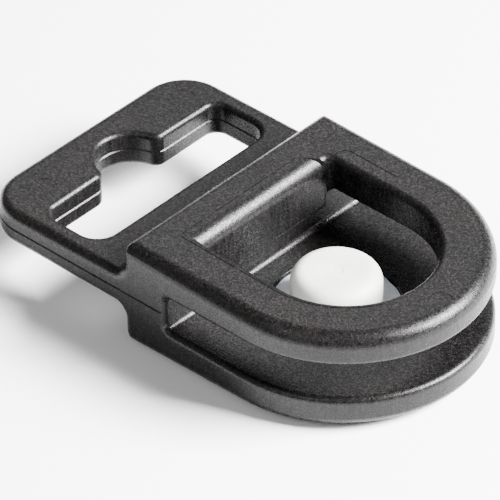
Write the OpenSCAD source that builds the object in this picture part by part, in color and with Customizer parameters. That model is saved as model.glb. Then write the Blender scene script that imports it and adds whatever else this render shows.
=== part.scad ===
// Sprung jaw clip for the end of a strap: a moulded nylon clip whose jaw takes the eyelet
// of a cover, and whose white button rises through the eyelet and holds it.
// Each module works from the tail end (x = 0) and the middle plane of the moulding (z = 0).

/* [Moulding] */
// Length of the clip, from tail end to nose
clip_l = 67.6; // [66.8:0.2:70]
// Width of the clip
clip_w = 40; // [38:0.5:46]
// Thickness of the head at its back
head_t = 16.2; // [16:0.2:18]
// Angle at which the head's outer faces close towards the nose
head_taper = 1.2; // [0:0.1:1.3]
// Distance from the tail end to the back of the head
head_x = 26.4; // [25:0.2:27]
// Radius of the head's outer edges
head_edge = 2; // [1:0.1:2.4]
// Radius of the edges at the back of the head
step_edge = 1.8; // [1:0.1:3]
// Radius of the hollow between the tail and the back of the head
step_hollow = 1.8; // [0.6:0.1:2.4]

/* [Tail] */
// Thickness of the tail plate
tail_t = 5.4; // [5:0.2:6.4]
// Radius of the tail's two corners
tail_corner = 6.6; // [5:0.2:8.4]
// Radius of the tail's edges
tail_edge = 1.3; // [0.6:0.1:2]
// Distance from the tail end to the strap slot
slot_x = 9.3; // [9:0.1:10]
// Length of the strap slot along the clip
slot_l = 9.9; // [8:0.1:10.4]
// Width of the strap slot across the clip
slot_w = 33.6; // [30:0.2:34]
// Corner radius of the slot on its head side
slot_corner = 3; // [1:0.2:3.8]
// Corner radius of the slot on its tail side
slot_corner_tail = 1.8; // [1:0.2:3]
// Radius of the round notch in the middle of the slot
notch_r = 5; // [4:0.1:5.4]
// Radius of the shoulders between the notch and the slot
notch_shoulder = 1.8; // [0.6:0.1:2.4]

/* [Jaw] */
// Height of the jaw gap
gap_h = 5.5; // [5.2:0.1:5.6]
// Radius of the corners at the bottom of the gap
gap_corner = 1; // [0.4:0.1:2]
// Distance from the tail end to the bottom of the gap and the window's back wall
window_x = 33.8; // [33.4:0.1:34.2]
// Width of the window
window_w = 25; // [24:0.2:26.4]
// Radius of the window's back corners
window_corner = 1; // [0.4:0.1:2]

/* [Button] */
// Distance from the tail end to the button's axis
button_x = 46.3; // [46:0.1:46.6]
// Diameter of the button
button_d = 12.3; // [11.6:0.1:12.5]
// Height of the button above the jaw's middle plane
button_rise = 2.4; // [1.8:0.1:2.6]
// Wall of the button
button_wall = 1.1; // [0.9:0.1:1.3]
// Diameter of the opening round the button
opening_d = 17.6; // [16.4:0.2:18]
// Diameter of the seal washer
washer_d = 19.8; // [19:0.1:20]
// Thickness of the seal washer
washer_t = 0.5; // [0.4:0.05:0.5]
// Thickness of the lip that keeps the washer in
lip_t = 0.6; // [0.5:0.05:0.6]
// Thickness of the bottom cover
cover_t = 0.8; // [0.7:0.05:0.8]
// Diameter of the bottom cover
cover_d = 22.6; // [22:0.1:24]
// Wire diameter of the return spring
wire_d = 0.7; // [0.5:0.05:0.8]
// Outer diameter of the return spring
spring_d = 9.2; // [8:0.1:9.4]
// Turns of the return spring
spring_turns = 4.5; // [4:0.5:5]

/* [Hidden] */
$fn = 96;
cut = 1;
run_gap = 0.04;
blend_gap = 0.03;
seat_gap = 0.02;
nose_r = clip_w / 2;
nose_x = clip_l - nose_r;
nose_lean = (head_t / 2 - head_edge) * sin(head_taper);
head_drop = step_edge * tan(head_taper);
slot_end = slot_x + slot_l;
window_r = window_w / 2;
pocket_d = washer_d + 0.8;
floor_z = -gap_h / 2;
lip_z = floor_z - lip_t;
cover_low = -head_t / 2 + (button_x + cover_d / 2 - head_x) * tan(head_taper) + 0.03;
cover_z = cover_low + cover_t;
washer_z = lip_z - seat_gap - washer_t;
button_edge = 0.8;
spring_gap = 0.02;
spring_base = cover_z + spring_gap;
spring_top = button_rise - button_wall - spring_gap;
spring_sides = 8;
spring_rings = 20;

// Places a piece so that the clip is centred and lies on z = 0.
module placed()
    translate([-(clip_l + nose_lean) / 2, 0, head_t / 2 - head_drop]) children();

// Rectangle with round corners, centred.
module round_rect(w, h, r) {
    square([w - 2 * r, h], center = true);
    square([w, h - 2 * r], center = true);
    for (x = [-1, 1], y = [-1, 1])
        translate([x * (w / 2 - r), y * (h / 2 - r)]) circle(r);
}

// Bar along x with round edges.
module round_bar(x0, x1, w, h, r)
    translate([x0, 0, 0]) rotate([90, 0, 90]) linear_extrude(x1 - x0) round_rect(w, h, r);

// Disc with a round rim.
module round_disc(radius, h, r)
    rotate_extrude()
        intersection() {
            round_rect(2 * radius, h, r);
            translate([0, -h]) square([radius + cut, 2 * h]);
        }

// Sharp edge of length l along y, left over outside a round edge of radius r.
module edge_waste(r, l)
    rotate([90, 0, 0]) linear_extrude(l, center = true)
        difference() {
            translate([-cut, 0]) square([r + cut, r + cut]);
            translate([r, 0]) circle(r);
        }

// Head with parallel faces: a bar that ends in a half disc.
module plain_head()
    difference() {
        union() {
            round_bar(head_x, nose_x, clip_w, head_t, head_edge);
            translate([nose_x, 0, 0]) round_disc(nose_r, head_t, head_edge);
        }
        translate([head_x, 0, head_t / 2 - step_edge]) edge_waste(step_edge, 2 * clip_w);
    }

// Head whose upper and lower faces close towards the nose.
module head()
    for (side = [0, 1])
        mirror([0, 0, side])
            intersection() {
                translate([head_x, 0, 0]) rotate([0, head_taper, 0]) translate([-head_x, 0, 0]) plain_head();
                translate([head_x, -clip_w, 0]) cube([clip_l, 2 * clip_w, head_t]);
            }

// Hollow corners between the tail's faces and the back of the head.
module step_fill()
    for (side = [0, 1])
        mirror([0, 0, side])
            translate([head_x - step_hollow, 0, tail_t / 2 - cut]) rotate([90, 0, 0])
                linear_extrude(clip_w - 2 * tail_edge, center = true)
                    difference() {
                        square([step_hollow + cut, step_hollow + cut]);
                        translate([0, step_hollow + cut]) circle(step_hollow);
                    }

// Tail plate, which runs on into the head.
module tail() {
    round_bar(tail_corner, head_x + head_edge, clip_w, tail_t, tail_edge);
    for (y = [-1, 1])
        translate([tail_corner, y * (nose_r - tail_corner), 0])
            round_disc(tail_corner, tail_t, tail_edge);
    translate([tail_corner, 0, 0]) rotate([90, 0, 0])
        linear_extrude(clip_w - 2 * tail_corner, center = true)
            round_rect(2 * tail_corner, tail_t, tail_edge);
}

// Outline of the strap slot with the notch in its tail side.
module slot_outline() {
    tail_r = slot_corner_tail;
    mid = slot_x + slot_l / 2;
    translate([slot_x, -slot_w / 2 + tail_r]) square([slot_l / 2, slot_w - 2 * tail_r]);
    translate([slot_x + tail_r, -slot_w / 2]) square([slot_l / 2 - tail_r, slot_w]);
    translate([mid, -slot_w / 2]) square([slot_l / 2 - slot_corner, slot_w]);
    translate([mid, -slot_w / 2 + slot_corner]) square([slot_l / 2, slot_w - 2 * slot_corner]);
    for (y = [-1, 1]) {
        translate([slot_x + tail_r, y * (slot_w / 2 - tail_r)]) circle(tail_r);
        translate([slot_end - slot_corner, y * (slot_w / 2 - slot_corner)]) circle(slot_corner);
    }
    notch_outline();
}

// Round notch with round shoulders.
module notch_outline() {
    reach = notch_r + notch_shoulder;
    middle_y = sqrt(reach * reach - notch_shoulder * notch_shoulder);
    touch_x = notch_r * notch_shoulder / reach;
    translate([slot_x, 0]) {
        circle(notch_r);
        difference() {
            translate([-touch_x, -middle_y]) square([touch_x + cut, 2 * middle_y]);
            for (y = [-1, 1])
                translate([-notch_shoulder, y * middle_y]) circle(notch_shoulder - blend_gap);
        }
    }
}

// Gap between the jaws, open at the nose and both sides.
module jaw_gap() {
    r = gap_corner;
    translate([window_x + r, -clip_w, -gap_h / 2]) cube([clip_l, 2 * clip_w, gap_h]);
    translate([window_x, -clip_w, -gap_h / 2 + r]) cube([clip_l, 2 * clip_w, gap_h - 2 * r]);
    for (z = [-1, 1])
        translate([window_x + r, 0, z * (gap_h / 2 - r)]) rotate([90, 0, 0])
            cylinder(r = r, h = 2 * clip_w, center = true);
}

// Window over the button, straight at the back and round at the front.
module window() {
    r = window_corner;
    translate([window_x + r, -window_r, 0]) cube([nose_x - window_x - r, window_w, head_t]);
    translate([window_x, -window_r + r, 0]) cube([window_r, window_w - 2 * r, head_t]);
    translate([nose_x, 0, 0]) cylinder(r = window_r, h = head_t);
    for (y = [-1, 1])
        translate([window_x + r, y * (window_r - r), 0]) cylinder(r = r, h = head_t);
}

// Opening, pocket and cover seat in the lower jaw.
module button_pocket()
    translate([button_x, 0, 0]) {
        translate([0, 0, lip_z - cut]) cylinder(d = opening_d, h = gap_h);
        translate([0, 0, cover_low]) cylinder(d = pocket_d, h = lip_z - cover_low);
        translate([0, 0, -head_t]) cylinder(d = cover_d + 2 * run_gap, h = head_t + cover_z);
    }

module jaw_body()
    color([0.2, 0.2, 0.22]) placed()
        difference() {
            union() {
                head();
                tail();
                step_fill();
            }
            translate([0, 0, -tail_t]) linear_extrude(2 * tail_t) slot_outline();
            jaw_gap();
            window();
            button_pocket();
        }

// Hollow button, open below for the spring.
module button() {
    r = button_d / 2;
    color([0.92, 0.92, 0.9]) placed()
        translate([button_x, 0, 0])
            difference() {
                union() {
                    translate([0, 0, washer_z]) cylinder(r = r, h = button_rise - button_edge - washer_z);
                    translate([0, 0, washer_z]) cylinder(r = r - button_edge, h = button_rise - washer_z);
                    translate([0, 0, button_rise - button_edge]) rotate_extrude()
                        translate([r - button_edge, 0]) circle(button_edge);
                }
                translate([0, 0, washer_z - cut])
                    cylinder(r = r - button_wall, h = button_rise - button_wall - washer_z + cut);
            }
}

// Thin soft washer, pressed on the foot of the button.
module seal_washer()
    color([0.8, 0.84, 0.88, 0.7]) placed()
        translate([button_x, 0, washer_z])
            difference() {
                cylinder(d = washer_d, h = washer_t);
                translate([0, 0, -cut]) cylinder(d = button_d, h = washer_t + 2 * cut);
            }

// One ring of points round the wire at turn t of the spring.
function spring_ring(t, radius, rise) =
    let (a = 360 * t, z = spring_base + wire_d / 2 + rise * t / spring_turns)
        [for (i = [0:spring_sides - 1])
            let (b = 360 * i / spring_sides, out = radius + wire_d / 2 * cos(b))
                [out * cos(a), out * sin(a), z + wire_d / 2 * sin(b)]];

module return_spring() {
    radius = (spring_d - wire_d) / 2;
    rise = spring_top - spring_base - wire_d;
    rings = floor(spring_turns * spring_rings);
    n = spring_sides;
    points = [for (k = [0:rings]) each spring_ring(k * spring_turns / rings, radius, rise)];
    sides = [for (k = [0:rings - 1], i = [0:n - 1])
        [k * n + i, k * n + (i + 1) % n, (k + 1) * n + (i + 1) % n, (k + 1) * n + i]];
    start = [for (i = [0:n - 1]) n - 1 - i];
    end = [for (i = [0:n - 1]) rings * n + i];
    color([0.7, 0.7, 0.72]) placed()
        translate([button_x, 0, 0]) polyhedron(points, concat(sides, [start, end]), convexity = 8);
}

module bottom_cover()
    color([0.16, 0.16, 0.17]) placed()
        translate([button_x, 0, cover_low]) cylinder(d = cover_d, h = cover_t);

jaw_body();
button();
seal_washer();
return_spring();
bottom_cover();
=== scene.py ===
import math
import bpy
import bmesh
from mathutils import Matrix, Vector


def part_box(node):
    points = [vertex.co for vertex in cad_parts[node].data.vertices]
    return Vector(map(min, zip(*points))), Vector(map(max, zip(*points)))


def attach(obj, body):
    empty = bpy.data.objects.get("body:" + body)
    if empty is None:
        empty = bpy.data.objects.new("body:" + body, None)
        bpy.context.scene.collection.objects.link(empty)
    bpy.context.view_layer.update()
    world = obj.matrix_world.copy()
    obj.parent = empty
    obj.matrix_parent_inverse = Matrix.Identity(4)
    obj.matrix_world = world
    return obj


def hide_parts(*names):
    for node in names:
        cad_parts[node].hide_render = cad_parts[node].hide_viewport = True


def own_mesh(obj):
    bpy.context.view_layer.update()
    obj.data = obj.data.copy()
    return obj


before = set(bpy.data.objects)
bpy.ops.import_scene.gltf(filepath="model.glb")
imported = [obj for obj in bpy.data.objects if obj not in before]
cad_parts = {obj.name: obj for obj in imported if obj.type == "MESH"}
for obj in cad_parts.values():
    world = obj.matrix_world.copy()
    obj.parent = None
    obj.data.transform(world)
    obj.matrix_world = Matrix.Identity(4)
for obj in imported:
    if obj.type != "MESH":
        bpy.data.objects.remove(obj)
bpy.ops.object.select_all(action="DESELECT")
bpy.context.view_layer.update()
MM = 0.001


# ---------------------------------------------------------------- jaw body
# One moulding in black nylon filled with glass fibre: a tail plate with the strap slot, and a
# head whose two jaws close a little towards the nose. The upper jaw has the thumb window.
body_low, body_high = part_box("jaw_body")
tail_x = body_low[0]
side_y = body_high[1]
mid_z = (body_low[2] + body_high[2]) / 2
nose_x = tail_x + 47.6 * MM
head_x = tail_x + 26.4 * MM
head_half = 8.098 * MM
tail_half = 2.7 * MM
tail_corner = 6.6 * MM
step_round = 1.8 * MM
head_taper = math.radians(1.2)
slot_near, slot_far = tail_x + 9.3 * MM, tail_x + 19.2 * MM
slot_half = 16.8 * MM
slot_tight = 1.8 * MM
slot_round = 3.0 * MM
notch_r = 5.0 * MM
shoulder_r = 1.8 * MM
window_x = tail_x + 33.8 * MM
window_half = 12.5 * MM
gap_x = tail_x + 33.9 * MM
gap_half = 2.75 * MM
inner_corner = 1.0 * MM
button_x = tail_x + 46.3 * MM
opening_r = 8.8 * MM
cover_low, cover_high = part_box("bottom_cover")
washer_low, washer_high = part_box("seal_washer")


def block(name, low, high):
    """A cube primitive at its size and place."""
    centre = [(a + b) / 2 for a, b in zip(low, high)]
    size = [b - a for a, b in zip(low, high)]
    bpy.ops.mesh.primitive_cube_add(size=1, location=centre, scale=size)
    bpy.ops.object.transform_apply(location=True, rotation=True, scale=True)
    bpy.context.object.name = name
    return bpy.context.object


def drum(name, centre, radius, depth, sides):
    """A cylinder primitive at its size and place."""
    bpy.ops.mesh.primitive_cylinder_add(vertices=sides, radius=radius, depth=depth, location=centre)
    bpy.ops.object.transform_apply(location=True, rotation=True, scale=True)
    bpy.context.object.name = name
    return bpy.context.object


def edit(piece):
    """Go into edit mode on one piece, with nothing selected."""
    bpy.ops.object.select_all(action="DESELECT")
    bpy.context.view_layer.objects.active = piece
    piece.select_set(True)
    bpy.ops.object.mode_set(mode="EDIT")
    bpy.ops.mesh.select_all(action="DESELECT")


def pick_edges(test):
    """Select the edges whose two ends pass the test."""
    bpy.ops.mesh.select_mode(type="EDGE")
    mesh = bmesh.from_edit_mesh(bpy.context.edit_object.data)
    for edge in mesh.edges:
        edge.select_set(test(edge.verts[0].co, edge.verts[1].co))
    bmesh.update_edit_mesh(bpy.context.edit_object.data)


def pick_faces(test):
    """Select the faces whose centre and normal pass the test."""
    bpy.ops.mesh.select_mode(type="FACE")
    mesh = bmesh.from_edit_mesh(bpy.context.edit_object.data)
    for face in mesh.faces:
        face.select_set(test(face.calc_center_median(), face.normal))
    bmesh.update_edit_mesh(bpy.context.edit_object.data)


def done():
    """Leave edit mode with clean outward normals."""
    bpy.ops.mesh.select_all(action="SELECT")
    bpy.ops.mesh.remove_doubles(threshold=0.002 * MM)
    bpy.ops.mesh.normals_make_consistent(inside=False)
    bpy.ops.object.mode_set(mode="OBJECT")


def near(a, b, reach=0.02 * MM):
    """Whether two measures are the same within a small reach."""
    return abs(a - b) < reach


def apply_all(piece):
    """Apply every modifier on a piece."""
    bpy.ops.object.select_all(action="DESELECT")
    bpy.context.view_layer.objects.active = piece
    piece.select_set(True)
    for modifier in list(piece.modifiers):
        bpy.ops.object.modifier_apply(modifier=modifier.name)


def combine(piece, tool, operation):
    """Cut, join or intersect a piece with a tool, which is used up."""
    step = piece.modifiers.new("combine", "BOOLEAN")
    step.operation = operation
    step.solver = "EXACT"
    step.object = tool
    apply_all(piece)
    bpy.data.objects.remove(tool, do_unlink=True)


# Side profile: the head block, closed towards the nose, with the tail drawn out of its back.
profile_end = nose_x + 22 * MM
body = block("jaw_body_moulding", (head_x, -1.2 * side_y, mid_z - head_half),
             (profile_end, 1.2 * side_y, mid_z + head_half))
edit(body)
fall = (profile_end - head_x) * math.tan(head_taper)
for side in (-1, 1):
    pick_edges(lambda a, b: min(a.x, b.x) > nose_x and near(a.z, b.z) and (a.z - mid_z) * side > 0)
    bpy.ops.transform.translate(value=(0, 0, -side * fall))
for height in (-tail_half, tail_half):
    bpy.ops.mesh.select_all(action="SELECT")
    bpy.ops.mesh.bisect(plane_co=(0, 0, mid_z + height), plane_no=(0, 0, 1))
pick_faces(lambda c, n: n.x < -0.9 and abs(c.z - mid_z) < tail_half)
bpy.ops.mesh.extrude_region_move(TRANSFORM_OT_translate={"value": (tail_x - head_x, 0, 0)})
pick_edges(lambda a, b: near(a.x, head_x) and near(b.x, head_x) and near(a.z, b.z)
           and not near(a.y, b.y))
bpy.ops.mesh.bevel(offset=step_round, segments=8, affect="EDGES")
done()

# Plan outline: round tail corners, straight sides and a half-round nose.
clear = 12 * MM
outline = block("outline", (tail_x, -side_y, mid_z - clear), (nose_x + side_y, side_y, mid_z + clear))
edit(outline)
pick_edges(lambda a, b: not near(a.z, b.z) and a.x < 0)
bpy.ops.mesh.bevel(offset=tail_corner, segments=16, affect="EDGES")
pick_edges(lambda a, b: not near(a.z, b.z) and near(a.x, nose_x + side_y))
bpy.ops.mesh.bevel(offset=side_y, segments=40, affect="EDGES", clamp_overlap=False)
done()
combine(body, outline, "INTERSECT")



def slot_shape(name, half):
    """A slab with the strap slot's outline, without the notch."""
    slab = block(name, (slot_near, -slot_half, mid_z - half), (slot_far, slot_half, mid_z + half))
    edit(slab)
    pick_edges(lambda a, b: not near(a.z, b.z) and near(a.x, slot_near))
    bpy.ops.mesh.bevel(offset=slot_tight, segments=8, affect="EDGES")
    pick_edges(lambda a, b: not near(a.z, b.z) and near(a.x, slot_far))
    bpy.ops.mesh.bevel(offset=slot_round, segments=10, affect="EDGES")
    done()
    return slab


# Strap slot with its round notch.
slot_cut = 9 * MM
slot = slot_shape("slot", slot_cut)
combine(slot, drum("notch", (slot_near, 0, mid_z), notch_r, 2 * slot_cut, 64), "UNION")
reach = notch_r + shoulder_r
shoulder_y = math.sqrt(reach ** 2 - shoulder_r ** 2)
touch_x = slot_near - notch_r * shoulder_r / reach
shoulders = block("shoulders", (touch_x, -shoulder_y, mid_z - slot_cut),
                  (slot_near + MM, shoulder_y, mid_z + slot_cut))
for side in (-1, 1):
    place = (slot_near - shoulder_r, side * shoulder_y, mid_z)
    combine(shoulders, drum("shoulder", place, shoulder_r, 20 * MM, 48), "DIFFERENCE")
combine(slot, shoulders, "UNION")
combine(body, slot, "DIFFERENCE")

# Jaw gap, open at the nose and on both sides.
gap_end = gap_x + 80 * MM
gap = block("gap", (gap_x, -2 * side_y, mid_z - gap_half), (gap_end, 2 * side_y, mid_z + gap_half))
edit(gap)
pick_edges(lambda a, b: near(a.x, gap_x) and near(b.x, gap_x) and near(a.z, b.z))
bpy.ops.mesh.bevel(offset=inner_corner, segments=5, affect="EDGES")
done()
combine(body, gap, "DIFFERENCE")

# Thumb window in the upper jaw.
window = block("window", (window_x, -window_half, mid_z),
               (nose_x + window_half, window_half, mid_z + clear))
edit(window)
pick_edges(lambda a, b: not near(a.z, b.z) and near(a.x, window_x))
bpy.ops.mesh.bevel(offset=inner_corner, segments=5, affect="EDGES")
pick_edges(lambda a, b: not near(a.z, b.z) and near(a.x, nose_x + window_half))
bpy.ops.mesh.bevel(offset=window_half, segments=32, affect="EDGES", clamp_overlap=False)
done()
combine(body, window, "DIFFERENCE")

# Opening, washer pocket and cover seat in the lower jaw.
lip_z = washer_high[2] + 0.02 * MM
pocket_r = washer_high[0] - button_x + 0.4 * MM
seat_r = cover_high[0] - button_x + 0.04 * MM
for name, radius, low, high in (("opening", opening_r, lip_z - MM, mid_z),
                                ("pocket", pocket_r, cover_high[2] - MM, lip_z),
                                ("cover_seat", seat_r, -10 * MM, cover_high[2])):
    combine(body, drum(name, (button_x, 0, (low + high) / 2), radius, high - low, 96), "DIFFERENCE")


def on_outline(place, reach=0.06 * MM):
    """Whether a point lies on the clip's plan outline."""
    x, y = place.x, abs(place.y)
    if x > nose_x:
        return near(math.hypot(x - nose_x, y), side_y, reach)
    if x < tail_x + tail_corner and y > side_y - tail_corner:
        out = math.hypot(x - tail_x - tail_corner, y - side_y + tail_corner)
        return near(out, tail_corner, reach)
    return near(y, side_y, reach) or near(x, tail_x, reach)


rim = 1.4 * MM
gap_rim = 0.9 * MM
slot_rim = 0.9 * MM
window_rim = 1.1 * MM
inner_rim = 0.3 * MM
opening_rim = 0.2 * MM
sharp_bend = 0.7
level = 0.9


def edge_radius(edge):
    """Radius that the tool leaves on an edge of the body, or 0 for a crisp edge."""
    if len(edge.link_faces) != 2:
        return 0
    place = (edge.verts[0].co + edge.verts[1].co) / 2
    height = place.z - mid_z
    first, second = edge.link_faces
    outer = [on_outline(face.calc_center_median()) for face in (first, second)]
    bend = edge.calc_face_angle(0)
    if outer[0] != outer[1] and bend > sharp_bend:
        in_gap = place.x > gap_x - 0.05 * MM and abs(height) < gap_half + 0.05 * MM
        return gap_rim if in_gap else rim
    if outer[0] or outer[1] or bend < sharp_bend:
        return 0
    flat = max(abs(first.normal.z), abs(second.normal.z))
    if flat < level:
        return 0
    if place.x < slot_far + 0.1 * MM:
        return slot_rim
    if near(place.x, head_x, 3 * MM):
        return 0
    if height > gap_half + MM:
        return window_rim
    if near(height, gap_half, 0.05 * MM):
        return inner_rim
    out = math.hypot(place.x - button_x, place.y)
    if near(height, -gap_half, 0.05 * MM) and near(out, opening_r, opening_rim):
        return opening_rim
    return 0


edit(body)
bpy.ops.mesh.select_all(action="SELECT")
bpy.ops.mesh.remove_doubles(threshold=0.03 * MM)
bpy.ops.mesh.dissolve_limited(angle_limit=math.radians(0.3))
mesh = bmesh.from_edit_mesh(body.data)
weight = mesh.edges.layers.float.new("bevel_weight_edge")
for edge in mesh.edges:
    edge[weight] = edge_radius(edge) / rim
bmesh.update_edit_mesh(body.data)
bpy.ops.object.mode_set(mode="OBJECT")
rounding = body.modifiers.new("rounding", "BEVEL")
rounding.limit_method = "WEIGHT"
rounding.width = rim
rounding.segments = 6
rounding.use_clamp_overlap = False
rounding.loop_slide = False
apply_all(body)

# The head's long edges are rounder than the tail's: a rounder envelope trims them. It stands a
# little proud of the flat faces, so that it only meets the edges.
proud = 0.03 * MM
envelope_x = tail_x - 20 * MM
envelope = block("envelope", (envelope_x, -side_y - proud, mid_z - head_half - proud),
                 (nose_x + side_y + proud, side_y + proud, mid_z + head_half + proud))
edit(envelope)
fall = (nose_x + side_y - head_x) * math.tan(head_taper)
rise = (head_x - envelope_x) * math.tan(head_taper)
for side in (-1, 1):
    pick_edges(lambda a, b: min(a.x, b.x) > nose_x and near(a.z, b.z) and (a.z - mid_z) * side > 0)
    bpy.ops.transform.translate(value=(0, 0, -side * fall))
    pick_edges(lambda a, b: max(a.x, b.x) < tail_x and near(a.z, b.z) and (a.z - mid_z) * side > 0)
    bpy.ops.transform.translate(value=(0, 0, side * rise))
pick_edges(lambda a, b: not near(a.z, b.z, 2 * MM) and near(a.x, nose_x + side_y + proud))
bpy.ops.mesh.bevel(offset=side_y + proud, segments=40, affect="EDGES", clamp_overlap=False)
done()
edit(envelope)
for side, radius in ((1, 2.3 * MM), (-1, 1.8 * MM)):
    pick_edges(lambda a, b: (a.z - mid_z) * side > 5 * MM and (b.z - mid_z) * side > 5 * MM
               and not (a.x < tail_x and b.x < tail_x))
    bpy.ops.mesh.bevel(offset=radius, segments=7, affect="EDGES", clamp_overlap=False)
done()
combine(body, envelope, "INTERSECT")
edit(body)
bpy.ops.mesh.select_all(action="SELECT")
bpy.ops.mesh.quads_convert_to_tris(ngon_method="CLIP")
done()

# The two halves of the tool meet at mid height and leave a fine V groove round the tail, along
# the head's sides and in the slot.
groove = 0.16 * MM


def pinch(piece, centre, reach):
    """Move the mid-height ring of a thin slab in or out by a set reach along X and Y."""
    edit(piece)
    bpy.ops.mesh.select_all(action="SELECT")
    bpy.ops.mesh.bisect(plane_co=(0, 0, mid_z), plane_no=(0, 0, 1))
    bpy.ops.transform.resize(value=(reach[0], reach[1], 1), center_override=centre)
    done()


hair = 0.01 * MM
core = block("core", (tail_x - hair, -side_y - hair, mid_z - groove),
             (nose_x + side_y, side_y + hair, mid_z + groove))
edit(core)
pick_edges(lambda a, b: not near(a.z, b.z) and a.x < 0)
bpy.ops.mesh.bevel(offset=tail_corner, segments=16, affect="EDGES")
done()
middle = ((tail_x + nose_x + side_y) / 2, 0, mid_z)
half_length = 34 * MM
pinch(core, middle, (1 - groove / half_length, 1 - groove / side_y))
seam = block("seam", (tail_x - 3 * MM, -side_y - 3 * MM, mid_z - 0.98 * groove),
             (nose_x + side_y - MM, side_y + 3 * MM, mid_z + 0.98 * groove))
combine(seam, core, "DIFFERENCE")
combine(body, seam, "DIFFERENCE")

slot_groove = slot_shape("slot_groove", groove)
middle = ((slot_near + slot_far) / 2, 0, mid_z)
slot_half_width = 5 * MM
pinch(slot_groove, middle, (1 + groove / slot_half_width, 1 + groove / slot_half))
combine(body, slot_groove, "DIFFERENCE")
notch_groove = drum("notch_groove", (slot_near, 0, mid_z), notch_r, 2 * groove, 64)
pinch(notch_groove, (slot_near, 0, mid_z), (1 + groove / notch_r, 1 + groove / notch_r))
combine(body, notch_groove, "DIFFERENCE")

# The window's back edge is rounded much more than its sides, to lead the thumb in.
lead_r = 2.4 * MM
lead_y = 12.9 * MM
lead_top = mid_z + head_half - (window_x - lead_r - head_x) * math.tan(head_taper)
lead_start, lead_end = window_x - lead_r, window_x + MM
lead = block("lead", (lead_start, -lead_y, lead_top - lead_r),
             (lead_end, lead_y - 1.2 * MM, lead_top + MM))
edit(lead)
for face_x, slant in ((lead_start, -2.4 * MM), (lead_end, 1.0 * MM)):
    pick_edges(lambda a, b: near(a.x, face_x) and near(b.x, face_x) and a.y > 0 and b.y > 0)
    bpy.ops.transform.translate(value=(0, slant, 0))
done()
bpy.ops.mesh.primitive_cylinder_add(vertices=96, radius=lead_r, depth=3 * lead_y,
                                    rotation=(math.pi / 2, 0, 0),
                                    location=(lead_start, 0, lead_top - lead_r))
bpy.ops.object.transform_apply(location=True, rotation=True, scale=True)
combine(lead, bpy.context.object, "DIFFERENCE")
combine(body, lead, "DIFFERENCE")

# Fine lines that the steel inserts of the tool leave: the ejector pins, and the insert that
# forms the window.
line_w, line_deep = 0.13 * MM, 0.12 * MM
pin_ring_tall, pin_deep = 0.6 * MM, 0.07 * MM
pin_ring_half = 0.05 * MM


def top_z(x):
    """Height of the upper face: the tail's, or the head's, which falls towards the nose."""
    if x < head_x:
        return mid_z + tail_half
    return mid_z + head_half - (x - head_x) * math.tan(head_taper)


def pin_line(name, centre, radius):
    """Cut the arc that shows of an ejector pin's edge into an upper face."""
    height = top_z(centre[0]) + pin_ring_tall / 2 - pin_deep
    place = (centre[0], centre[1], height)
    ring = drum(name, place, radius + pin_ring_half, pin_ring_tall, 48)
    combine(ring, drum("inner", place, radius - pin_ring_half, 2 * MM, 48), "DIFFERENCE")
    buried = block("buried", (-3 * radius, -4 * radius, -MM), (3 * radius, 0.1 * radius, MM))
    edit(buried)
    bpy.ops.mesh.select_all(action="SELECT")
    bpy.ops.transform.rotate(value=math.radians(-40), orient_axis="Z", center_override=(0, 0, 0))
    bpy.ops.transform.translate(value=place)
    done()
    combine(ring, buried, "DIFFERENCE")
    combine(body, ring, "DIFFERENCE")


pin_line("pin_line_far", (tail_x + 5.5 * MM, 14.3 * MM), 1.75 * MM)
pin_line("pin_line_near", (tail_x + 5.3 * MM, -12.9 * MM), 1.75 * MM)
pin_line("pin_line_nose", (tail_x + 64.7 * MM, -0.6 * MM), 1.6 * MM)


def insert_shape(name, back, half, corner, low, high):
    """A slab with the window's D outline, grown to the given back and half width."""
    slab = block(name, (back, -half, low), (nose_x + half, half, high))
    edit(slab)
    pick_edges(lambda a, b: not near(a.z, b.z) and near(a.x, back))
    bpy.ops.mesh.bevel(offset=corner, segments=6, affect="EDGES")
    pick_edges(lambda a, b: not near(a.z, b.z) and near(a.x, nose_x + half))
    bpy.ops.mesh.bevel(offset=half, segments=48, affect="EDGES", clamp_overlap=False)
    done()
    return slab


def tilt(piece):
    """Lay a level slab along the head's falling upper face."""
    edit(piece)
    bpy.ops.mesh.select_all(action="SELECT")
    mesh = bmesh.from_edit_mesh(piece.data)
    for vert in mesh.verts:
        vert.co.z += top_z(vert.co.x) - top_z(head_x)
    bmesh.update_edit_mesh(piece.data)
    bpy.ops.object.mode_set(mode="OBJECT")


line_low = top_z(head_x) - line_deep
below, above = line_low - MM, line_low + 2 * MM
insert_back = window_x - 2.9 * MM
insert_half = window_half + 1.25 * MM
insert_corner = 0.5 * MM
insert_line = insert_shape("insert_line", insert_back, insert_half, insert_corner,
                           line_low, line_low + MM)
inner = insert_shape("inner", insert_back + line_w, insert_half - line_w, insert_corner, below, above)
combine(insert_line, inner, "DIFFERENCE")
past_nose = nose_x + 30 * MM
far_side = block("far_side", (tail_x, 9 * MM, below), (past_nose, 20 * MM, above))
combine(insert_line, far_side, "DIFFERENCE")
nose_side = block("nose_side", (nose_x + 8 * MM, -6 * MM, below), (past_nose, 20 * MM, above))
combine(insert_line, nose_side, "DIFFERENCE")
tilt(insert_line)
combine(body, insert_line, "DIFFERENCE")



def vent_shape(name, low, high, bend):
    """A slab whose corner towards the tail and the far side is rounded."""
    slab = block(name, low, high)
    edit(slab)
    pick_edges(lambda a, b: not near(a.z, b.z) and near(a.x, low[0]) and a.y > 14 * MM)
    bpy.ops.mesh.bevel(offset=bend, segments=8, affect="EDGES", clamp_overlap=False)
    done()
    return slab


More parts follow.
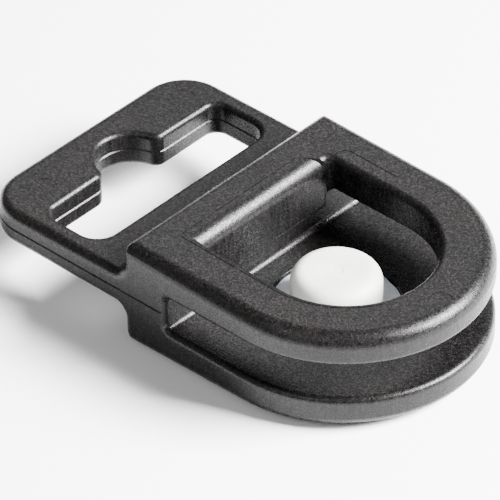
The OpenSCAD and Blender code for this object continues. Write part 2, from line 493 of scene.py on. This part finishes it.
vent_x, vent_y = window_x + 0.4 * MM, 15.2 * MM
vent_bend = 1.4 * MM
vent_line = vent_shape("vent_line", (vent_x, 13.3 * MM, line_low),
                       (window_x + 9.6 * MM, vent_y, line_low + MM), vent_bend)
inner = vent_shape("inner", (vent_x + line_w, 12 * MM, below),
                   (window_x + 12 * MM, vent_y - line_w, above), vent_bend - line_w)
combine(vent_line, inner, "DIFFERENCE")
tilt(vent_line)
combine(body, vent_line, "DIFFERENCE")


def smooth(piece, degrees):
    """Shade smooth below an angle, with the wide flat faces kept flat."""
    bpy.ops.object.select_all(action="DESELECT")
    bpy.context.view_layer.objects.active = piece
    piece.select_set(True)
    bpy.ops.object.shade_smooth_by_angle(angle=math.radians(degrees))
    flats = piece.modifiers.new("flats", "WEIGHTED_NORMAL")
    flats.keep_sharp = True
    apply_all(piece)


body_crease = 35
smooth(body, body_crease)
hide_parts("jaw_body")
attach(body, "housing")


def surface(piece, name):
    """Give a piece a new node material of its own and return its nodes, links and shader."""
    finish = bpy.data.materials.new(name)
    finish.use_nodes = True
    piece.data.materials.clear()
    piece.data.materials.append(finish)
    nodes, links = finish.node_tree.nodes, finish.node_tree.links
    return nodes, links, nodes["Principled BSDF"]


def pattern(nodes, links, kind, scale, stretch=(1, 1, 1), **settings):
    """A noise or cell texture on the piece's own coordinates."""
    place = nodes.new("ShaderNodeTexCoord")
    mapping = nodes.new("ShaderNodeMapping")
    mapping.inputs["Scale"].default_value = stretch
    texture = nodes.new(kind)
    texture.inputs["Scale"].default_value = scale
    for setting, value in settings.items():
        texture.inputs[setting].default_value = value
    links.new(place.outputs["Object"], mapping.inputs["Vector"])
    links.new(mapping.outputs["Vector"], texture.inputs["Vector"])
    return texture


def ramp(nodes, links, source, stops):
    """A colour ramp from a list of (position, colour)."""
    bands = nodes.new("ShaderNodeValToRGB")
    marks = bands.color_ramp.elements
    while len(marks) < len(stops):
        marks.new(0.5)
    for mark, (position, colour) in zip(marks, stops):
        mark.position = position
        mark.color = (*colour, 1)
    links.new(source, bands.inputs["Fac"])
    return bands


def blend_colours(nodes, links, mode, share, first, second):
    """Mix two colour outputs; share is a number or an output."""
    mix = nodes.new("ShaderNodeMix")
    mix.data_type = "RGBA"
    mix.blend_type = mode
    if isinstance(share, float):
        mix.inputs["Factor"].default_value = share
    else:
        links.new(share, mix.inputs["Factor"])
    links.new(first, mix.inputs["A"])
    links.new(second, mix.inputs["B"])
    return mix.outputs["Result"]


def relief(nodes, links, layers, shader):
    """Stack bump layers of (height output, depth in metres, strength)."""
    normal = None
    for height, deep, strength in layers:
        bump = nodes.new("ShaderNodeBump")
        bump.inputs["Distance"].default_value = deep
        bump.inputs["Strength"].default_value = strength
        links.new(height, bump.inputs["Height"])
        if normal:
            links.new(normal, bump.inputs["Normal"])
        normal = bump.outputs["Normal"]
    links.new(normal, shader.inputs["Normal"])


# Glass-filled nylon: charcoal with pale fibre ends, a fine spark-eroded grain and faint flow
# streaks down the side walls.
nodes, links, shader = surface(body, "nylon_black_glass_filled")
grain = pattern(nodes, links, "ShaderNodeTexNoise", 4300, Detail=3, Roughness=0.62)
cloud = pattern(nodes, links, "ShaderNodeTexNoise", 160, Detail=3, Roughness=0.5)
fibres = pattern(nodes, links, "ShaderNodeTexVoronoi", 4200)
pits = pattern(nodes, links, "ShaderNodeTexVoronoi", 5600)
streaks = pattern(nodes, links, "ShaderNodeTexNoise", 2200, stretch=(1, 1, 0.12), Detail=2)
tone = ramp(nodes, links, pits.outputs["Color"],
            [(0.3, (0.001, 0.0006, 0.0006)), (0.5, (0.002, 0.0016, 0.0016)),
             (0.72, (0.0045, 0.0042, 0.0044))])
patches = ramp(nodes, links, cloud.outputs["Fac"], [(0.3, (0.7, 0.76, 0.84)), (0.7, (1.15, 1.08, 1.02))])
tinted = blend_colours(nodes, links, "MULTIPLY", 1.0, tone.outputs["Color"], patches.outputs["Color"])
drawn = ramp(nodes, links, streaks.outputs["Fac"], [(0.36, (0.45, 0.45, 0.45)), (0.64, (2.0, 2.0, 2.0))])
drawn_tone = blend_colours(nodes, links, "MULTIPLY", 1.0, tinted, drawn.outputs["Color"])
flecks = ramp(nodes, links, fibres.outputs["Distance"], [(0.0, (0.09, 0.09, 0.09)), (0.24, (0, 0, 0))])
speckled = blend_colours(nodes, links, "ADD", 0.5, drawn_tone, flecks.outputs["Color"])
links.new(speckled, shader.inputs["Base Color"])
gloss = ramp(nodes, links, pits.outputs["Color"], [(0.3, (0.42, 0.42, 0.42)), (0.7, (0.22, 0.22, 0.22))])
links.new(gloss.outputs["Color"], shader.inputs["Roughness"])
shader.inputs["IOR"].default_value = 1.53
shader.inputs["Specular IOR Level"].default_value = 0.17
relief(nodes, links, [(cloud.outputs["Fac"], 0.05 * MM, 0.25), (streaks.outputs["Fac"], 0.035 * MM, 0.55),
                      (grain.outputs["Fac"], 0.035 * MM, 0.9)], shader)


# ---------------------------------------------------------------- bottom cover
# A thin nylon disc pressed into the recess under the lower jaw. It closes the spring chamber, and
# its outer face has a shallow ring groove and the small pit of the moulding gate.
cover_radius = cover_high[0] - button_x
cover_thick = cover_high[2] - cover_low[2]
cover_mid = (cover_high[2] + cover_low[2]) / 2
cover = drum("bottom_cover_disc", (button_x, 0, cover_mid), cover_radius, cover_thick, 128)
cover_edge = 0.12 * MM
edit(cover)
for edge_z in (cover_low[2], cover_high[2]):
    pick_edges(lambda a, b: near(a.z, edge_z) and near(b.z, edge_z))
    bpy.ops.mesh.bevel(offset=cover_edge, segments=3, affect="EDGES")
done()
cover_face = (button_x, 0, cover_low[2])
ring_outer, ring_inner = cover_radius - 2.4 * MM, cover_radius - 3.5 * MM
ring_depth = 0.12 * MM
cover_ring = drum("cover_ring", cover_face, ring_outer, 2 * ring_depth, 128)
combine(cover_ring, drum("cover_ring_core", cover_face, ring_inner, MM, 128), "DIFFERENCE")
combine(cover, cover_ring, "DIFFERENCE")
gate_radius, gate_depth = 0.9 * MM, 0.15 * MM
combine(cover, drum("cover_gate_pit", cover_face, gate_radius, 2 * gate_depth, 48), "DIFFERENCE")
bpy.ops.object.shade_smooth_by_angle(angle=math.radians(35))
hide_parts("bottom_cover")
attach(cover, "housing")

# The cover's finish is a little smoother than the body's, with fine turned rings.
nodes, links, shader = surface(cover, "nylon_black_cover")
grain = pattern(nodes, links, "ShaderNodeTexNoise", 2200, Detail=3)
rings = nodes.new("ShaderNodeTexWave")
rings.wave_type = "RINGS"
rings.rings_direction = "Z"
rings.inputs["Scale"].default_value = 900
rings.inputs["Distortion"].default_value = 0.4
place = nodes.new("ShaderNodeTexCoord")
shift = nodes.new("ShaderNodeMapping")
shift.inputs["Location"].default_value = (-button_x, 0, 0)
links.new(place.outputs["Object"], shift.inputs["Vector"])
links.new(shift.outputs["Vector"], rings.inputs["Vector"])
tone = ramp(nodes, links, grain.outputs["Fac"],
            [(0.35, (0.014, 0.014, 0.015)), (0.7, (0.045, 0.045, 0.046))])
links.new(tone.outputs["Color"], shader.inputs["Base Color"])
gloss = ramp(nodes, links, grain.outputs["Fac"], [(0.3, (0.5, 0.5, 0.5)), (0.7, (0.36, 0.36, 0.36))])
links.new(gloss.outputs["Color"], shader.inputs["Roughness"])
relief(nodes, links, [(rings.outputs["Fac"], 0.01 * MM, 0.3),
                      (grain.outputs["Fac"], 0.03 * MM, 0.5)], shader)


# ---------------------------------------------------------------- return spring
# A small compression spring of stainless wire between the cover and the button's crown. Its end
# turns are closed. It is built at one length, though in use it shortens as the button goes down.
spring_low, spring_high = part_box("return_spring")
wire_r = 0.34 * MM
coil_r = spring_high[0] - button_x - wire_r - 0.02 * MM
coil_turns = 4.5
turn_steps = 48
wire_sides = 14
closed_share = 0.14
open_share = 0.72
bpy.ops.mesh.primitive_circle_add(vertices=wire_sides, radius=wire_r, location=(0, 0, 0))
bpy.ops.object.transform_apply(location=True, rotation=True, scale=True)
spring = bpy.context.object
spring.name = "return_spring_wire"
edit(spring)
bpy.ops.mesh.select_all(action="SELECT")
bpy.ops.transform.rotate(value=math.radians(90), orient_axis="X", center_override=(0, 0, 0))
foot_z = spring_low[2] + wire_r
head_z = spring_high[2] - wire_r
bpy.ops.transform.translate(value=(button_x + coil_r, 0, foot_z))
bpy.ops.mesh.spin(steps=int(coil_turns * turn_steps), angle=2 * math.pi * coil_turns,
                  center=(button_x, 0, 0), axis=(0, 0, 1))
mesh = bmesh.from_edit_mesh(spring.data)
mesh.verts.ensure_lookup_table()
ring_count = len(mesh.verts) // wire_sides
for index, vert in enumerate(mesh.verts):
    share = (index // wire_sides) / (ring_count - 1)
    climb = min(1, max(0, (share - closed_share) / open_share))
    vert.co.z += (head_z - foot_z) * (climb * climb * (3 - 2 * climb) * 0.35 + climb * 0.65)
bmesh.update_edit_mesh(spring.data)
bpy.ops.mesh.select_all(action="DESELECT")
bpy.ops.mesh.select_mode(type="EDGE")
bpy.ops.mesh.select_non_manifold()
bpy.ops.mesh.edge_face_add()
done()
bpy.ops.object.shade_smooth_by_angle(angle=math.radians(40))
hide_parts("return_spring")
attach(spring, "housing")
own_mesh(spring)

# Drawn stainless wire: bright, with fine drawing marks and a slightly darker skin in patches.
nodes, links, shader = surface(spring, "steel_spring_wire")
marks = pattern(nodes, links, "ShaderNodeTexNoise", 5000, stretch=(1, 1, 6), Detail=2)
skin = pattern(nodes, links, "ShaderNodeTexNoise", 420, Detail=3)
tone = ramp(nodes, links, skin.outputs["Fac"], [(0.3, (0.42, 0.41, 0.4)), (0.7, (0.66, 0.65, 0.64))])
links.new(tone.outputs["Color"], shader.inputs["Base Color"])
gloss = ramp(nodes, links, marks.outputs["Fac"], [(0.3, (0.34, 0.34, 0.34)), (0.7, (0.2, 0.2, 0.2))])
links.new(gloss.outputs["Color"], shader.inputs["Roughness"])
shader.inputs["Metallic"].default_value = 1.0
relief(nodes, links, [(marks.outputs["Fac"], 0.008 * MM, 0.4)], shader)


# ---------------------------------------------------------------- seal washer
# A thin washer of clear soft film, pressed on the button's foot. It keeps sand out of the spring
# chamber. Its rim was cut by hand and is wrinkled on the nose side.
button_low, button_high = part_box("button")
button_r = button_high[0] - button_x
washer_r = washer_high[0] - button_x
washer_thick = washer_high[2] - washer_low[2]
washer_mid = (washer_high[2] + washer_low[2]) / 2
washer = drum("seal_washer_film", (button_x, 0, washer_mid), washer_r, washer_thick, 144)
edit(washer)
pick_faces(lambda c, n: abs(n.z) > 0.9)
washer_rings = 7
for ring in range(washer_rings):
    bpy.ops.mesh.inset(thickness=(washer_r - button_r) / washer_rings, depth=0, use_individual=True)
bpy.ops.mesh.select_all(action="SELECT")
bpy.ops.mesh.remove_doubles(threshold=0.002 * MM)
pick_faces(lambda c, n: abs(n.z) > 0.9 and math.hypot(c.x - button_x, c.y) < 0.5 * button_r)
bpy.ops.mesh.bridge_edge_loops()
done()
wrinkled_r = 8.72 * MM
wave_deep = 0.25 * MM
wrinkle_turn = math.radians(65)
edit(washer)
mesh = bmesh.from_edit_mesh(washer.data)
for vert in mesh.verts:
    out = math.hypot(vert.co.x - button_x, vert.co.y)
    turn = math.atan2(vert.co.y, vert.co.x - button_x)
    free = min(1, max(0, (out - button_r) / (opening_r - button_r)))
    wrinkle = max(0, math.cos(turn - wrinkle_turn)) ** 2
    wave = math.sin(turn * 9) * 0.6 + math.sin(turn * 17 + 1) * 0.4
    if out > 0.85 * washer_r:
        short = (washer_r - wrinkled_r - wave_deep * wave) * min(1, 1.6 * wrinkle)
        vert.co.x -= short * math.cos(turn)
        vert.co.y -= short * math.sin(turn)
    if vert.co.z > washer_mid:
        vert.co.z -= washer_thick * free * wrinkle * (0.35 + 0.35 * wave)
bmesh.update_edit_mesh(washer.data)
bpy.ops.object.mode_set(mode="OBJECT")
smooth(washer, 40)
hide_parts("seal_washer")
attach(washer, "button")

# Milky film: light passes through it, with faint cloudy patches and fine scratches.
nodes, links, shader = surface(washer, "film_milky_clear")
cloud = pattern(nodes, links, "ShaderNodeTexNoise", 520, Detail=4)
scratch = pattern(nodes, links, "ShaderNodeTexNoise", 1800, stretch=(1, 7, 1), Detail=2)
tone = ramp(nodes, links, cloud.outputs["Fac"], [(0.32, (0.68, 0.72, 0.78)), (0.7, (0.88, 0.91, 0.95))])
links.new(tone.outputs["Color"], shader.inputs["Base Color"])
gloss = ramp(nodes, links, scratch.outputs["Fac"], [(0.3, (0.22, 0.22, 0.22)), (0.7, (0.42, 0.42, 0.42))])
links.new(gloss.outputs["Color"], shader.inputs["Roughness"])
shader.inputs["Transmission Weight"].default_value = 0.15
shader.inputs["IOR"].default_value = 1.42
relief(nodes, links, [(cloud.outputs["Fac"], 0.06 * MM, 0.4),
                      (scratch.outputs["Fac"], 0.01 * MM, 0.4)], shader)


# ---------------------------------------------------------------- button
# A hollow cup in natural acetal, pushed up by the spring. Its foot carries the washer, its crown
# has a rounded edge, a slight dish and the faint mark of the moulding gate.
crown_round = 1.9 * MM
button_wall = 1.1 * MM
button_tall = button_high[2] - button_low[2]
button_mid = (button_high[2] + button_low[2]) / 2
foot_round = 0.12 * MM
bore_round = 0.4 * MM
button = drum("button_cup", (button_x, 0, button_mid), button_r, button_tall, 128)
edit(button)
pick_edges(lambda a, b: near(a.z, button_high[2]) and near(b.z, button_high[2]))
bpy.ops.mesh.bevel(offset=crown_round, segments=10, affect="EDGES")
pick_edges(lambda a, b: near(a.z, button_low[2]) and near(b.z, button_low[2]))
bpy.ops.mesh.bevel(offset=foot_round, segments=2, affect="EDGES")
pick_faces(lambda c, n: n.z > 0.9 and near(c.z, button_high[2]) and math.hypot(c.x - button_x, c.y) < MM)
for step, deep in ((1.2 * MM, 0.02 * MM), (1.2 * MM, 0.03 * MM), (0.8 * MM, 0.02 * MM)):
    bpy.ops.mesh.inset(thickness=step, depth=-deep)
bpy.ops.mesh.inset(thickness=0.3 * MM, depth=0)
bpy.ops.mesh.inset(thickness=0.08 * MM, depth=-0.05 * MM)
done()
bore_top = button_high[2] - button_wall
bore_place = (button_x, 0, bore_top - button_tall / 2)
bore = drum("button_bore", bore_place, button_r - button_wall, button_tall, 128)
edit(bore)
pick_edges(lambda a, b: near(a.z, bore_top) and near(b.z, bore_top))
bpy.ops.mesh.bevel(offset=bore_round, segments=4, affect="EDGES")
done()
combine(button, bore, "DIFFERENCE")
smooth(button, 40)
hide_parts("button")
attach(button, "button")

# Natural acetal: warm white, slightly see-through at depth, with a fine matt skin, faint sink
# clouds and rubbed marks on the crown.
nodes, links, shader = surface(button, "acetal_natural_white")
cloud = pattern(nodes, links, "ShaderNodeTexNoise", 190, Detail=3)
skin = pattern(nodes, links, "ShaderNodeTexNoise", 2400, Detail=2)
rubs = pattern(nodes, links, "ShaderNodeTexNoise", 700, stretch=(1, 5, 1), Detail=3)
tone = ramp(nodes, links, cloud.outputs["Fac"], [(0.3, (0.5, 0.505, 0.475)), (0.7, (0.63, 0.635, 0.61))])
worn = ramp(nodes, links, rubs.outputs["Fac"], [(0.34, (0.9, 0.89, 0.87)), (0.46, (1, 1, 1))])
links.new(blend_colours(nodes, links, "MULTIPLY", 1.0, tone.outputs["Color"], worn.outputs["Color"]),
          shader.inputs["Base Color"])
gloss = ramp(nodes, links, skin.outputs["Fac"], [(0.3, (0.55, 0.55, 0.55)), (0.7, (0.4, 0.4, 0.4))])
links.new(gloss.outputs["Color"], shader.inputs["Roughness"])
shader.inputs["Subsurface Weight"].default_value = 0.15
shader.inputs["Subsurface Scale"].default_value = 1.2 * MM
shader.inputs["Subsurface Radius"].default_value = (1.0, 0.9, 0.75)
shader.inputs["IOR"].default_value = 1.48
relief(nodes, links, [(cloud.outputs["Fac"], 0.03 * MM, 0.3),
                      (skin.outputs["Fac"], 0.012 * MM, 0.4)], shader)


# ---------------------------------------------------------------- stage
# A white floor, a broad soft box behind and to the right, two weaker ones and a bright room.
bpy.ops.mesh.primitive_plane_add(size=3, location=(0, 0, 0))
floor = bpy.context.object
floor.name = "floor"
nodes, links, shader = surface(floor, "paper_white")
fibre = pattern(nodes, links, "ShaderNodeTexNoise", 900, Detail=2)
tone = ramp(nodes, links, fibre.outputs["Fac"], [(0.3, (0.93, 0.93, 0.93)), (0.7, (0.95, 0.95, 0.95))])
links.new(tone.outputs["Color"], shader.inputs["Base Color"])
shader.inputs["Roughness"].default_value = 0.9

aim = Vector((tail_x + 32.863 * MM, -2.246 * MM, mid_z))


def soft_box(name, toward, distance, width, height, power):
    """A rectangular area light that faces the clip."""
    light = bpy.data.lights.new(name, "AREA")
    light.shape = "RECTANGLE"
    light.size, light.size_y = width, height
    light.energy = power
    holder = bpy.data.objects.new(name, light)
    bpy.context.collection.objects.link(holder)
    direction = Vector(toward).normalized()
    holder.location = aim + direction * distance
    holder.rotation_euler = direction.to_track_quat("Z", "Y").to_euler()


soft_box("key_behind_right", (0.64, 0.46, 0.58), distance=0.6, width=0.3, height=0.26, power=56)
soft_box("top_behind_left", (-0.5, 0.5, 0.7), distance=0.7, width=0.4, height=0.3, power=1.3)
soft_box("front_fill", (0.1, -0.8, 0.75), distance=0.7, width=0.4, height=0.3, power=1.2)
world = bpy.data.worlds.new("studio")
bpy.context.scene.world = world
world.use_nodes = True
world.node_tree.nodes["Background"].inputs["Color"].default_value = (1, 1, 1, 1)
world.node_tree.nodes["Background"].inputs["Strength"].default_value = 0.34

# The camera looks down on the near side and the nose.
around, up = math.radians(42.46), math.radians(37.75)
away = Vector((math.sin(around) * math.cos(up), -math.cos(around) * math.cos(up), math.sin(up)))
camera_distance = 0.7025
camera_roll = math.radians(-0.386)
camera = bpy.data.cameras.new("camera")
camera_object = bpy.data.objects.new("camera", camera)
bpy.context.collection.objects.link(camera_object)
camera_object.location = aim + away * camera_distance
camera_object.rotation_euler = (-away).to_track_quat("-Z", "Y").to_euler()
camera_object.rotation_euler.rotate_axis("Z", camera_roll)
camera.sensor_width = 36
camera.lens = 381.2
camera.shift_x, camera.shift_y = 0.00106, -0.00012
bpy.context.scene.camera = camera_object
